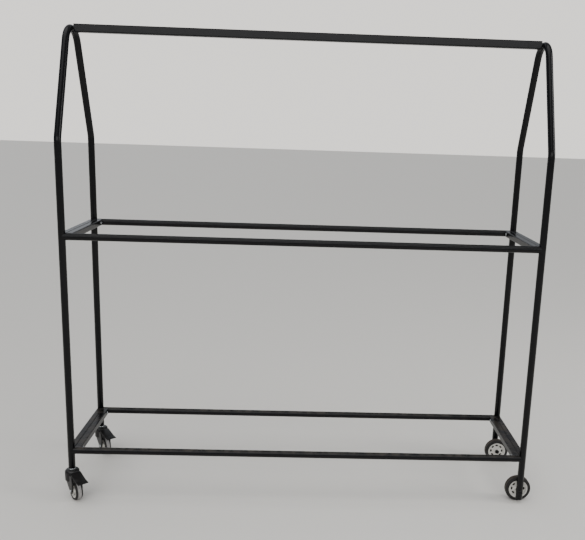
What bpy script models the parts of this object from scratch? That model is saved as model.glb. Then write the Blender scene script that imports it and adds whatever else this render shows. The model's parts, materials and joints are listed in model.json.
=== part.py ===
"""Rolling clothes rack: two bent tube end hoops, four long rails, a square hanging rail, two braked swivel
casters on the left end and two fixed wheels on the right end. Metres, +Z up, +X along the hanging rail."""

from math import acos, atan2, cos, degrees, hypot, pi, radians, sin, sqrt

import bmesh
import bpy
from mathutils import Matrix, Vector

# ---- driving dimensions -------------------------------------------------------------------------------
OVERALL_LENGTH = 1.500          # outer side of one hoop to the outer side of the other
OVERALL_DEPTH = 0.350           # outer side of a front leg to the outer side of a rear leg
OVERALL_HEIGHT = 1.500          # floor to the top of the hanging rail
LOWER_SHELF_HEIGHT = 0.160      # centre of the lower rails
MIDDLE_SHELF_HEIGHT = 0.862     # centre of the middle rails
SHOULDER_HEIGHT = 1.155         # where the straight legs start to lean inwards

HOOP_DIAMETER = 0.022
HOOP_WALL = 0.0012
HOOP_TOP_DROP = 0.002           # top of the hoops below the top of the hanging rail
APEX_RADIUS = 0.060
SHOULDER_RADIUS = 0.060
RAIL_DIAMETER = 0.022
RAIL_WALL = 0.0010
BAR_SIDE = 0.020                # shelf bars and cross tubes, square
BAR_WALL = 0.0012
TOP_RAIL_SIDE = 0.025
TOP_RAIL_WALL = 0.0015
SQUARE_TUBE_CORNER = 0.0018

SCREW_DIAMETER = 0.004
SCREW_HEAD_DIAMETER = 0.008
SCREW_HEAD_HEIGHT = 0.0024
SCREW_INSET = 0.011             # screw axis from the end of its shelf bar
SCREW_BITE = 0.004              # screw tip past the wall of the cross tube

RAIL_BOLT_DIAMETER = 0.006
RAIL_BOLT_HEAD_DIAMETER = 0.011
RAIL_BOLT_HEAD_HEIGHT = 0.003
RAIL_PLUG_LENGTH = 0.014

FIXED_WHEEL = {                 # radii and widths of a right wheel
    "radius": 0.0425, "width": 0.0240, "hub_radius": 0.0315,
    "hole_circle": 0.0205, "hole_width": 0.0065, "hole_length": 0.0105,
}
CASTER_WHEEL = {                # the same of a left wheel
    "radius": 0.0325, "width": 0.0230, "hub_radius": 0.0245,
    "hole_circle": 0.0160, "hole_width": 0.0045, "hole_length": 0.0080,
}
TYRE_SHOULDER = 0.0045
TYRE_LIP = 0.0010               # hub side of the tyre, in from the face
HUB_HOLES = 8
HUB_HOLE_FLOOR = 0.0020         # the holes are blind, and this much of the disc is left between two of them
HUB_RIM_INSET = 0.0015
HUB_RIM_WIDTH = 0.0035
HUB_WEB = 0.0090                # thickness of the disc between boss and rim
HUB_BOSS_RADIUS = 0.0100
HUB_SLOPE = 0.0015              # of the sides of the boss and the rim
BUSH_RADIUS = 0.006
BUSH_FLANGE_RADIUS = 0.0095
AXLE_RADIUS = 0.004
AXLE_HEAD_RADIUS = 0.0048
AXLE_HEAD_HEIGHT = 0.0026
AXLE_BOLT_HEAD_RADIUS = 0.0072
AXLE_END = 0.0012               # axle past its nut
FIXED_NUT = {"radius": 0.0075, "height": 0.0065}    # radius to the corners
CASTER_NUT = {"radius": 0.0064, "height": 0.0032}

FIXED_LEG_END = 0.018           # lower end of the right legs above the floor
FIXED_WHEEL_OFFSET = 0.0015     # leg to the near face of its wheel
LEG_PLUG_SKIRT = 0.010
LEG_PLUG_FLANGE = 0.003
PLUG_CHAMFER = 0.001

CASTER_HEIGHT = 0.100           # floor to the lower end of the left legs
CASTER_TURN = radians(-50)      # direction of the pedals, from +X
CASTER_TRAIL = 0.026
DOME_RADIUS = 0.0230
DOME_TOP = 0.095
DOME_BOTTOM = 0.060
DOME_SHOULDER = 0.008
DOME_STEPS = 20
CHEEK_THICKNESS = 0.0032
CHEEK_GAP = 0.0028              # wheel face to the inner face of a cheek
CHEEK_BOSS_RADIUS = 0.0095
CHEEK_FRONT = (0.0140, 0.0240)  # front corner of a cheek, from the axle
TYRE_CLEARANCE = 0.003          # wheel cavity of the housing round the tyre
STEM_RADIUS = 0.005
STEM_CHAMFER = 0.0008
STEM_COLLAR_RADIUS = 0.0075
STEM_COLLAR_HEIGHT = 0.003
STEM_TOP_PLATE = 0.0105         # thickness of the housing that the stem collar holds up
STEM_REACH = 0.022              # stem inside the leg
INSERT_LENGTH = 0.030
WASHER_OVERHANG = 0.0002        # of the stem washer past the leg it bears on
WASHER_CHAMFER = 0.001
PEDAL_PIVOT = (0.031, 0.0815)   # along the rolling direction from the swivel axis, and above the floor
PEDAL_EAR_RADIUS = 0.0048
PEDAL_EAR_ARC = (radians(-25), radians(125))   # the part of its round that shows
PEDAL_PIN_RADIUS = 0.0019
PEDAL_PLATE = 0.0022
PEDAL_HALF_WIDTH = 0.0170
PEDAL_START = (0.0246, 0.0920)
PEDAL_SHOULDER = (0.0680, 0.0800)
PEDAL_TIP = (0.0880, 0.0790)
PEDAL_SHOE = [                  # its outline, from the pins
    (-0.0030, 0.0082), (0.0140, 0.0036), (0.0120, -0.0165), (0.0060, -0.0150), (-0.0036, -0.0030),
]

GAP = 0.0003                    # between pieces that touch
HOLE_CLEARANCE = 0.0003         # hole wider than its bolt, on the radius
TUBE_RESOLUTION = 4             # of a curve's bevel, which gives the sides below
TUBE_SIDES = 4 + 2 * TUBE_RESOLUTION
SHOULDER_STEPS = 3              # pieces that a bend or a turned shape is made of
HALF_APEX_STEPS = 6
CORNER_STEPS = 3
TYRE_CORNER_STEPS = 2
BOSS_STEPS = 6
WHEEL_STEPS = 24
WASHER_STEPS = 16
SMALL_STEPS = 12
CUTTER_SIDES = 16
HUB_HOLE_SIDES = 8
MERGE_DISTANCE = 0.00001
SHARP_ANGLE = radians(40)

# ---- sizes that follow ----------------------------------------------------------------------------------
HOOP_RADIUS = HOOP_DIAMETER / 2
HALF_LENGTH = (OVERALL_LENGTH - HOOP_DIAMETER) / 2
HALF_DEPTH = (OVERALL_DEPTH - HOOP_DIAMETER) / 2
APEX_HEIGHT = OVERALL_HEIGHT - HOOP_TOP_DROP - HOOP_RADIUS
RAIL_RADIUS = RAIL_DIAMETER / 2
FLAT = cos(pi / WHEEL_STEPS)                         # a tyre stands on one of its flats
FIXED_AXLE_HEIGHT = FIXED_WHEEL["radius"] * FLAT
CASTER_AXLE_HEIGHT = CASTER_WHEEL["radius"] * FLAT
CHEEK_INNER = CASTER_WHEEL["width"] / 2 + CHEEK_GAP
CHEEK_OUTER = CHEEK_INNER + CHEEK_THICKNESS
CHEEK_BACK = -sqrt(DOME_RADIUS**2 - CHEEK_OUTER**2)   # the cheeks end on the round of the dome
BAR_CENTRE = HALF_LENGTH - BAR_SIDE - GAP            # x of a shelf bar, beside its cross tube
SCREW_Y = HALF_DEPTH - RAIL_RADIUS - SCREW_INSET
TOP_RAIL_CENTRE = OVERALL_HEIGHT - TOP_RAIL_SIDE / 2
PLUG_RADIUS = (HOOP_RADIUS - HOOP_WALL) * cos(pi / TUBE_SIDES) - GAP   # fits inside a leg
STEM_WASHER_RADIUS = HOOP_RADIUS + WASHER_OVERHANG
SHELF_HEIGHTS = {"lower": LOWER_SHELF_HEIGHT, "middle": MIDDLE_SHELF_HEIGHT}
ENDS = {"left": -1, "right": 1}
SIDES = {"front": -1, "rear": 1}

COLOURS = {  # base colour, roughness, metallic
    "black_powder_coat": ((0.013, 0.013, 0.015), 0.38, 0.0),
    "black_nylon": ((0.010, 0.010, 0.011), 0.45, 0.0),
    "black_rubber": ((0.018, 0.017, 0.016), 0.75, 0.0),
    "grey_hub_plastic": ((0.55, 0.55, 0.52), 0.45, 0.0),
    "bright_zinc": ((0.66, 0.66, 0.66), 0.28, 1.0),
    "white_acetal": ((0.70, 0.69, 0.65), 0.40, 0.0),
}


def clear_scene():
    for obj in list(bpy.data.objects):
        bpy.data.objects.remove(obj, do_unlink=True)


def new_collection(name):
    collection = bpy.data.collections.new(name)
    bpy.context.scene.collection.children.link(collection)
    return collection


def new_material(name, colour, roughness, metallic):
    material = bpy.data.materials.new(name)
    material.use_nodes = True
    shader = material.node_tree.nodes["Principled BSDF"]
    shader.inputs["Base Color"].default_value = (*colour, 1.0)
    shader.inputs["Roughness"].default_value = roughness
    shader.inputs["Metallic"].default_value = metallic
    return material


clear_scene()
PARTS = new_collection("rolling_clothes_rack")
CUTTERS = new_collection("cutters")


def node_material(node, finish):
    """Each sub-part has a material of its own, with one of the six finishes."""
    return new_material(node + "_" + finish, *COLOURS[finish])


def place(obj, parent, location=(0, 0, 0), rotation=(0, 0, 0)):
    obj.parent = parent
    obj.location = location
    obj.rotation_euler = rotation
    return obj


def empty(name, parent=None, location=(0, 0, 0), rotation=(0, 0, 0)):
    obj = bpy.data.objects.new(name, None)
    PARTS.objects.link(obj)
    return place(obj, parent, location, rotation)


def part(name, mesh, finish, parent, location=(0, 0, 0), rotation=(0, 0, 0)):
    obj = bpy.data.objects.new(name, mesh)
    obj.data.materials.clear()
    obj.data.materials.append(node_material(name, finish))
    PARTS.objects.link(obj)
    return place(obj, parent, location, rotation)


def cutter(name, mesh, parent, location=(0, 0, 0), rotation=(0, 0, 0)):
    obj = bpy.data.objects.new(name, mesh)
    obj.hide_render = True
    obj.display_type = "WIRE"
    CUTTERS.objects.link(obj)
    return place(obj, parent, location, rotation)


def boolean(obj, other, operation):
    modifier = obj.modifiers.new(other.name, "BOOLEAN")
    modifier.operation = operation
    modifier.object = other


# ---- shapes ---------------------------------------------------------------------------------------------
def finished(name, bm, smooth=True):
    bmesh.ops.recalc_face_normals(bm, faces=bm.faces)
    mesh = bpy.data.meshes.new(name)
    bm.to_mesh(mesh)
    bm.free()
    if smooth:
        mesh.shade_smooth()
        mesh.set_sharp_from_angle(angle=SHARP_ANGLE)
    return mesh


def cylinder_mesh(name, radius, depth, sides=CUTTER_SIDES):
    """A cylinder along Z, centred, whose flats are at the radius, so that it clears a round piece."""
    bm = bmesh.new()
    corner = radius / cos(pi / sides)
    bmesh.ops.create_cone(bm, cap_ends=True, segments=sides, radius1=corner, radius2=corner, depth=depth)
    return finished(name, bm)


def box_mesh(name, size, corner=0.0):
    bm = bmesh.new()
    bmesh.ops.create_cube(bm, size=1.0)
    bmesh.ops.scale(bm, vec=size, verts=bm.verts)
    if corner:
        bmesh.ops.bevel(bm, geom=bm.edges[:], offset=corner, segments=2, profile=0.5, affect="EDGES")
    return finished(name, bm)


def round_tube_mesh(name, points, diameter):
    """The outer skin of a tube along the points, open at both ends."""
    curve = bpy.data.curves.new(name, "CURVE")
    curve.dimensions = "3D"
    curve.bevel_depth = diameter / 2
    curve.bevel_resolution = TUBE_RESOLUTION
    spline = curve.splines.new("POLY")
    spline.points.add(len(points) - 1)
    for spot, point in zip(spline.points, points):
        spot.co = (*point, 1.0)
    guide = bpy.data.objects.new(name + "_guide", curve)
    CUTTERS.objects.link(guide)
    graph = bpy.context.evaluated_depsgraph_get()
    mesh = bpy.data.meshes.new_from_object(guide.evaluated_get(graph))
    bpy.data.objects.remove(guide, do_unlink=True)
    bm = bmesh.new()
    bm.from_mesh(mesh)
    bmesh.ops.remove_doubles(bm, verts=bm.verts, dist=MERGE_DISTANCE)
    return finished(name, bm)


def square_tube_mesh(name, side, length):
    """The outer skin of a square tube along Y, open at both ends, with its long edges rounded."""
    bm = bmesh.new()
    bmesh.ops.create_cube(bm, size=1.0)
    bmesh.ops.scale(bm, vec=(side, length, side), verts=bm.verts)
    ends = [face for face in bm.faces if abs(face.normal.y) > 0.5]
    bmesh.ops.delete(bm, geom=ends, context="FACES_ONLY")
    long_edges = [edge for edge in bm.edges if not edge.is_boundary]
    bmesh.ops.bevel(bm, geom=long_edges, offset=SQUARE_TUBE_CORNER, segments=2, profile=0.5, affect="EDGES")
    return finished(name, bm)


def hollow(obj, wall):
    modifier = obj.modifiers.new("wall", "SOLIDIFY")
    modifier.thickness = wall
    modifier.offset = -1.0
    modifier.use_even_offset = True
    modifier.use_rim = True


def turned(
    name, profile, finish, parent, location=(0, 0, 0), rotation=(0, 0, 0), steps=SMALL_STEPS, ring=True
):
    """(radius, height) points turned about Z: a closed outline, or for a solid an open one from the axis at
    the top to the axis at the bottom. It runs down its outer side."""
    bm = bmesh.new()
    spots = [bm.verts.new((radius, 0.0, height)) for radius, height in profile]
    follow = spots[1:] + spots[:1] if ring else spots[1:]
    for first, second in zip(spots, follow):
        bm.edges.new((first, second))
    mesh = bpy.data.meshes.new(name)
    bm.to_mesh(mesh)
    bm.free()
    obj = part(name, mesh, finish, parent, location, rotation)
    screw = obj.modifiers.new("turn", "SCREW")
    screw.angle = 2 * pi
    screw.steps = steps
    screw.render_steps = steps
    screw.use_merge_vertices = True
    screw.merge_threshold = MERGE_DISTANCE
    return obj


def turned_solid(name, profile, finish, parent, location, rotation=(0, 0, 0)):
    return turned(name, profile, finish, parent, location, rotation, ring=False)


def arc(centre, radius, start, end, count):
    """Points of an arc, with angles in radians from the first axis of its plane."""
    turn = (end - start) / count
    return [
        (centre[0] + radius * cos(start + turn * step), centre[1] + radius * sin(start + turn * step))
        for step in range(count + 1)
    ]


def plate_mesh(name, outline, thickness):
    """A flat (x, z) outline made a plate of this thickness, centred on y = 0."""
    curve = bpy.data.curves.new(name, "CURVE")
    curve.dimensions = "2D"
    curve.fill_mode = "BOTH"
    curve.extrude = thickness / 2
    spline = curve.splines.new("POLY")
    spline.points.add(len(outline) - 1)
    for spot, (x, z) in zip(spline.points, outline):
        spot.co = (x, z, 0.0, 1.0)
    spline.use_cyclic_u = True
    guide = bpy.data.objects.new(name + "_guide", curve)
    CUTTERS.objects.link(guide)
    graph = bpy.context.evaluated_depsgraph_get()
    mesh = bpy.data.meshes.new_from_object(guide.evaluated_get(graph))
    bpy.data.objects.remove(guide, do_unlink=True)
    bm = bmesh.new()
    bm.from_mesh(mesh)
    bmesh.ops.remove_doubles(bm, verts=bm.verts, dist=MERGE_DISTANCE)
    bmesh.ops.rotate(bm, verts=bm.verts, matrix=Matrix.Rotation(pi / 2, 3, "X"))
    return finished(name, bm)


# ---- frame ----------------------------------------------------------------------------------------------
def lean_angle(half_depth, rise):
    """Angle of the leaning tubes from the vertical, so that the apex bend ends at its height."""
    spare = rise - APEX_RADIUS
    return acos(APEX_RADIUS / hypot(half_depth, spare)) - atan2(spare, half_depth)


def hoop_points(leg_end):
    """Centre line of a hoop in its (y, z) plane, from the front foot over the apex to the rear foot."""
    lean = lean_angle(HALF_DEPTH, APEX_HEIGHT - SHOULDER_HEIGHT)
    tangent = SHOULDER_RADIUS * (1 - cos(lean)) / sin(lean)
    shoulder = arc(
        (-HALF_DEPTH + SHOULDER_RADIUS, SHOULDER_HEIGHT - tangent), SHOULDER_RADIUS, pi, pi - lean, SHOULDER_STEPS
    )
    apex = arc((0.0, APEX_HEIGHT - APEX_RADIUS), APEX_RADIUS, pi - lean, pi / 2, HALF_APEX_STEPS)
    front = [(-HALF_DEPTH, leg_end), *shoulder, *apex]
    rear = [(-y, z) for y, z in reversed(front[:-1])]
    return [(0.0, y, z) for y, z in front + rear]


def cope(obj, axis_x, axis_y, axis_z, along, radius, length):
    """Cuts the end of a tube to sit on a round tube through this point, running along X or Z."""
    name = obj.name + "_cope_%d" % len(obj.modifiers)
    rotation = (0, pi / 2, 0) if along == "X" else (0, 0, 0)
    mesh = cylinder_mesh(name, radius + GAP, length)
    local = (axis_x - obj.location.x, axis_y - obj.location.y, axis_z - obj.location.z)
    boolean(obj, cutter(name, mesh, obj, local, rotation), "DIFFERENCE")


def end_hoop(end, leg_end):
    name = end + "_end_hoop"
    mesh = round_tube_mesh(name, hoop_points(leg_end), HOOP_DIAMETER)
    hoop = part(name, mesh, "black_powder_coat", RACK, (ENDS[end] * HALF_LENGTH, 0, 0))
    hollow(hoop, HOOP_WALL)
    hole = cylinder_mesh(name + "_bolt_hole", RAIL_BOLT_DIAMETER / 2 + HOLE_CLEARANCE, 2 * HOOP_DIAMETER)
    boolean(hoop, cutter(name + "_bolt_hole", hole, hoop, (0, 0, TOP_RAIL_CENTRE), (0, pi / 2, 0)), "DIFFERENCE")
    return hoop


def cross_tube(end, level, height):
    """Square tube between the legs of a hoop, coped to the round legs."""
    name = end + "_" + level + "_cross_tube"
    mesh = square_tube_mesh(name, BAR_SIDE, 2 * HALF_DEPTH)
    tube = part(name, mesh, "black_powder_coat", RACK, (ENDS[end] * HALF_LENGTH, 0, height))
    hollow(tube, BAR_WALL)
    for side in SIDES.values():
        cope(tube, tube.location.x, side * HALF_DEPTH, height, "Z", HOOP_RADIUS, 3 * BAR_SIDE)
        drill_for_screw(tube, end, side)
    return tube


def long_rail(side, level, height):
    """Round rail between the left and the right leg, coped to both and notched for the cross tubes."""
    name = level + "_" + side + "_rail"
    ends = [(-HALF_LENGTH, 0.0, 0.0), (HALF_LENGTH, 0.0, 0.0)]
    mesh = round_tube_mesh(name, ends, RAIL_DIAMETER)
    rail = part(name, mesh, "black_powder_coat", RACK, (0, SIDES[side] * HALF_DEPTH, height))
    hollow(rail, RAIL_WALL)
    for end_name, end in ENDS.items():
        cope(rail, end * HALF_LENGTH, rail.location.y, height, "Z", HOOP_RADIUS, 3 * RAIL_DIAMETER)
        notch_name = "%s_%s_notch" % (name, end_name)
        notch = box_mesh(notch_name, (BAR_SIDE + 2 * GAP, RAIL_DIAMETER + 2 * GAP, 3 * RAIL_DIAMETER))
        spot = (end * HALF_LENGTH, -SIDES[side] * RAIL_RADIUS, 0)
        boolean(rail, cutter(notch_name, notch, rail, spot), "DIFFERENCE")
    return rail


def shelf_bar(end, level, height):
    """Square bar between the front and the rear rail, coped to both, against its cross tube. A thick leg or a
    thin rail brings its corners near the legs, so they are cut clear of those too."""
    name = level + "_" + end + "_shelf_bar"
    mesh = square_tube_mesh(name, BAR_SIDE, 2 * HALF_DEPTH)
    bar = part(name, mesh, "black_powder_coat", RACK, (ENDS[end] * BAR_CENTRE, 0, height))
    hollow(bar, BAR_WALL)
    for side in SIDES.values():
        cope(bar, bar.location.x, side * HALF_DEPTH, height, "X", RAIL_RADIUS, 3 * BAR_SIDE)
        cope(bar, ENDS[end] * HALF_LENGTH, side * HALF_DEPTH, height, "Z", HOOP_RADIUS, 3 * BAR_SIDE)
        drill_for_screw(bar, end, side)
    return bar


def drill_for_screw(tube, end, side):
    """A screw hole along X. In a cross tube it goes through the inner wall only."""
    name = tube.name + "_screw_hole_%d" % len(tube.modifiers)
    mesh = cylinder_mesh(name, SCREW_DIAMETER / 2 + HOLE_CLEARANCE, BAR_SIDE + 2 * SCREW_BITE)
    shift = ENDS[end] * (BAR_CENTRE + BAR_WALL) - tube.location.x
    boolean(tube, cutter(name, mesh, tube, (shift, side * SCREW_Y, 0), (0, pi / 2, 0)), "DIFFERENCE")


def domed_head(head_radius, height, shank_radius, shank_length):
    """Outline of a screw along +Z: its head lies above z = 0 and its shank below."""
    crown = [(head_radius * cos(angle), height * sin(angle)) for angle in (pi / 2, pi / 3, pi / 6)]
    return [
        *crown,
        (head_radius, 0.0),
        (shank_radius, 0.0),
        (shank_radius, -shank_length),
        (0.0, -shank_length),
    ]


def shelf_screw(end, side, level, height):
    name = level + "_" + end + "_" + side + "_shelf_screw"
    length = BAR_SIDE + 2 * GAP + BAR_WALL + SCREW_BITE
    outline = domed_head(SCREW_HEAD_DIAMETER / 2, SCREW_HEAD_HEIGHT, SCREW_DIAMETER / 2, length)
    inner_face = BAR_CENTRE - BAR_SIDE / 2 - GAP
    spot = (ENDS[end] * inner_face, SIDES[side] * SCREW_Y, height)
    return turned_solid(name, outline, "bright_zinc", RACK, spot, (0, -ENDS[end] * pi / 2, 0))


def top_rail():
    length = 2 * (HALF_LENGTH - HOOP_RADIUS - GAP)
    mesh = square_tube_mesh("top_rail", TOP_RAIL_SIDE, length)
    rail = part("top_rail", mesh, "black_powder_coat", RACK, (0, 0, TOP_RAIL_CENTRE), (0, 0, pi / 2))
    hollow(rail, TOP_RAIL_WALL)
    return rail


def top_rail_plug(end):
    """Threaded block inside the end of the hanging rail."""
    name = end + "_top_rail_plug"
    side = TOP_RAIL_SIDE - 2 * (TOP_RAIL_WALL + GAP)
    mesh = box_mesh(name, (RAIL_PLUG_LENGTH, side, side), SQUARE_TUBE_CORNER / 2)
    spot = ENDS[end] * (HALF_LENGTH - HOOP_RADIUS - GAP - RAIL_PLUG_LENGTH / 2)
    plug = part(name, mesh, "black_nylon", RACK, (spot, 0, TOP_RAIL_CENTRE))
    hole = cylinder_mesh(name + "_hole", RAIL_BOLT_DIAMETER / 2 + HOLE_CLEARANCE, 2 * RAIL_PLUG_LENGTH)
    boolean(plug, cutter(name + "_hole", hole, plug, (0, 0, 0), (0, pi / 2, 0)), "DIFFERENCE")
    return plug


def top_rail_bolt(end):
    name = end + "_top_rail_bolt"
    length = HOOP_DIAMETER + RAIL_PLUG_LENGTH
    outline = domed_head(RAIL_BOLT_HEAD_DIAMETER / 2, RAIL_BOLT_HEAD_HEIGHT, RAIL_BOLT_DIAMETER / 2, length)
    spot = (ENDS[end] * (HALF_LENGTH + HOOP_RADIUS + GAP), 0, TOP_RAIL_CENTRE)
    return turned_solid(name, outline, "black_powder_coat", RACK, spot, (0, ENDS[end] * pi / 2, 0))


# ---- wheels ---------------------------------------------------------------------------------------------
def wheel_turned(name, outline, finish, parent):
    """Half a step of turn puts a flat of the ring on the floor."""
    return turned(name, outline, finish, parent, (0, 0, 0), (0, 0, pi / WHEEL_STEPS), WHEEL_STEPS)


def tyre(name, wheel, parent):
    """Rubber ring about Z with rounded shoulders."""
    half_width = wheel["width"] / 2
    inner = wheel["hub_radius"] + GAP
    centre = (wheel["radius"] - TYRE_SHOULDER, half_width - TYRE_SHOULDER)
    upper = arc(centre, TYRE_SHOULDER, pi / 2, 0.0, TYRE_CORNER_STEPS)
    lower = [(radius, -height) for radius, height in reversed(upper)]
    outline = [(inner, half_width - TYRE_LIP), *upper, *lower, (inner, TYRE_LIP - half_width)]
    return wheel_turned(name, outline, "black_rubber", parent)


def hub(name, wheel, parent):
    """Disc about Z: a rim, a web with blind oval holes in both faces, and a boss for the bush."""
    half_width = wheel["width"] / 2
    rim_face = half_width - HUB_RIM_INSET
    rim_inner = wheel["hub_radius"] - HUB_RIM_WIDTH
    bore = BUSH_RADIUS + GAP
    upper = [
        (bore, half_width),
        (HUB_BOSS_RADIUS, half_width),
        (HUB_BOSS_RADIUS + HUB_SLOPE, HUB_WEB / 2),
        (rim_inner - HUB_SLOPE, HUB_WEB / 2),
        (rim_inner, rim_face),
        (wheel["hub_radius"], rim_face),
    ]
    outline = upper + [(radius, -height) for radius, height in reversed(upper)]
    disc = wheel_turned(name, outline, "grey_hub_plastic", parent)
    bm = bmesh.new()
    size = Matrix.Diagonal((wheel["hole_width"], wheel["hole_length"], wheel["width"], 1.0))
    middle = (HUB_HOLE_FLOOR + wheel["width"]) / 2
    for number in range(2 * HUB_HOLES):
        made = bmesh.ops.create_cone(
            bm, cap_ends=True, segments=HUB_HOLE_SIDES, radius1=0.5, radius2=0.5, depth=1.0
        )
        turn = Matrix.Rotation(2 * pi * number / HUB_HOLES, 4, "Z")
        shift = Matrix.Translation((wheel["hole_circle"], 0, middle if number < HUB_HOLES else -middle))
        bmesh.ops.transform(bm, matrix=turn @ shift @ size, verts=made["verts"])
    mesh = finished(name + "_holes", bm)
    boolean(disc, cutter(name + "_holes", mesh, disc), "DIFFERENCE")
    return disc


def plain_bush(name, half_length, parent):
    bore = AXLE_RADIUS + GAP
    outline = [(bore, half_length), (BUSH_RADIUS, half_length), (BUSH_RADIUS, -half_length), (bore, -half_length)]
    return turned(name, outline, "white_acetal", parent)


def hex_nut(name, size, parent, location, rotation, finish):
    """Six-sided nut from z = 0 to its height, with its bore a clearance wider than the axle."""
    radius = size["radius"]
    height = size["height"]
    bm = bmesh.new()
    bmesh.ops.create_cone(bm, cap_ends=True, segments=6, radius1=radius, radius2=radius, depth=height)
    bmesh.ops.translate(bm, vec=(0, 0, height / 2), verts=bm.verts)
    nut = part(name, finished(name, bm, smooth=False), finish, parent, location, rotation)
    mesh = cylinder_mesh(name + "_bore", AXLE_RADIUS + HOLE_CLEARANCE, 3 * height)
    boolean(nut, cutter(name + "_bore", mesh, nut), "DIFFERENCE")
    return nut


# ---- right end: fixed wheels ----------------------------------------------------------------------------
def fixed_wheel(side):
    """A wheel on the inner side of a right leg. The group's Z axis points from the leg to the wheel."""
    name = "right_" + side
    y = SIDES[side] * HALF_DEPTH
    half_width = FIXED_WHEEL["width"] / 2
    turn = (SIDES[side] * pi / 2, 0, 0)
    group = empty(name + "_axle_group", RACK, (HALF_LENGTH, y, FIXED_AXLE_HEIGHT), turn)
    wheel_centre = HOOP_RADIUS + FIXED_WHEEL_OFFSET + half_width
    spin = empty(name + "_wheel_axis", group, (0, 0, wheel_centre))
    tyre(name + "_tyre", FIXED_WHEEL, spin)
    hub(name + "_hub", FIXED_WHEEL, spin)
    bore = AXLE_RADIUS + GAP
    near = GAP - half_width - FIXED_WHEEL_OFFSET
    flange = -GAP - half_width
    outline = [
        (bore, half_width),
        (BUSH_RADIUS, half_width),
        (BUSH_RADIUS, flange),
        (BUSH_FLANGE_RADIUS, flange),
        (BUSH_FLANGE_RADIUS, near),
        (bore, near),
    ]
    turned(name + "_bush", outline, "black_nylon", spin)
    nut_face = wheel_centre + half_width + GAP
    hex_nut(name + "_axle_nut", FIXED_NUT, group, (0, 0, nut_face), (0, 0, 0), "black_powder_coat")
    bolt_face = -HOOP_RADIUS - GAP
    shank = nut_face - bolt_face + FIXED_NUT["height"] + AXLE_END
    head = domed_head(AXLE_BOLT_HEAD_RADIUS, AXLE_HEAD_HEIGHT, AXLE_RADIUS, shank)
    turned_solid(name + "_axle_bolt", head, "black_powder_coat", group, (0, 0, bolt_face), (pi, 0, 0))


def fixed_leg_details(hoop):
    """Axle holes through the right legs, and a plug in each tube end."""
    outline = [
        (0.0, LEG_PLUG_SKIRT),
        (PLUG_RADIUS - PLUG_CHAMFER, LEG_PLUG_SKIRT),
        (PLUG_RADIUS, LEG_PLUG_SKIRT - PLUG_CHAMFER),
        (PLUG_RADIUS, -GAP),
        (HOOP_RADIUS, -GAP),
        (HOOP_RADIUS, PLUG_CHAMFER - LEG_PLUG_FLANGE),
        (HOOP_RADIUS - PLUG_CHAMFER, -LEG_PLUG_FLANGE),
        (0.0, -LEG_PLUG_FLANGE),
    ]
    for side, sign in SIDES.items():
        name = "right_%s_axle_hole" % side
        mesh = cylinder_mesh(name, AXLE_RADIUS + HOLE_CLEARANCE, 2 * HOOP_DIAMETER)
        hole = cutter(name, mesh, hoop, (0, sign * HALF_DEPTH, FIXED_AXLE_HEIGHT), (pi / 2, 0, 0))
        boolean(hoop, hole, "DIFFERENCE")
        spot = (HALF_LENGTH, sign * HALF_DEPTH, FIXED_LEG_END)
        turned_solid("right_%s_leg_plug" % side, outline, "black_nylon", RACK, spot)


# ---- left end: swivel casters ---------------------------------------------------------------------------
def tangent_angle(spot, centre, radius, sign):
    """Angle, seen from the centre, of the point where a line from the spot touches the circle."""
    across = Vector((spot[0] - centre[0], spot[1] - centre[1]))
    return atan2(across.y, across.x) + sign * acos(radius / across.length)


def cheek_outline():
    """Side view of a fork cheek: from the dome down to the axle boss and up to the pedal ear."""
    axle = (CASTER_TRAIL, CASTER_AXLE_HEIGHT)
    top = DOME_TOP - DOME_SHOULDER - CHEEK_THICKNESS
    back = (CHEEK_BACK, DOME_BOTTOM)
    front = (axle[0] + CHEEK_FRONT[0], axle[1] + CHEEK_FRONT[1])
    start = tangent_angle(back, axle, CHEEK_BOSS_RADIUS, 1)
    end = tangent_angle(front, axle, CHEEK_BOSS_RADIUS, -1)
    boss = arc(axle, CHEEK_BOSS_RADIUS, start, end + 2 * pi, BOSS_STEPS)
    ear = arc(PEDAL_PIVOT, PEDAL_EAR_RADIUS, *PEDAL_EAR_ARC, CORNER_STEPS)
    return [(CHEEK_BACK, top), back, *boss, front, *ear, (DOME_RADIUS - CHEEK_THICKNESS, top)]


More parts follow.
